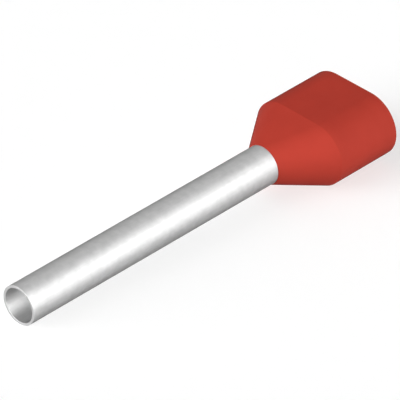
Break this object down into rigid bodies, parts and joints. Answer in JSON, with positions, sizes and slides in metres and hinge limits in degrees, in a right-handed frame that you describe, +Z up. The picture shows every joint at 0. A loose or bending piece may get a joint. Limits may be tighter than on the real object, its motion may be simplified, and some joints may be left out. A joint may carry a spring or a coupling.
{
  "type": "twin wire ferrule",
  "caption": "Twin insulated crimp ferrule: a thin tinned tube with a flared end, seated in an obround plastic collar.",
  "frame": {"origin": "on the sleeve's axis, in the plane where the bare sleeve enters the collar", "axes": "+X along the sleeve's axis, from the bare tip towards the collar's mouth; +Y across the collar's wide way; +Z up, across its narrow way"},
  "size_m": [0.0251, 0.0064, 0.0038],
  "materials": {
    "tinned_copper": "satin",
    "red_polypropylene": "satin"
  },
  "bodies": {
    "root": {"contact_sleeve": "tinned_copper", "insulating_collar": "red_polypropylene"}
  },
  "joints": []
}
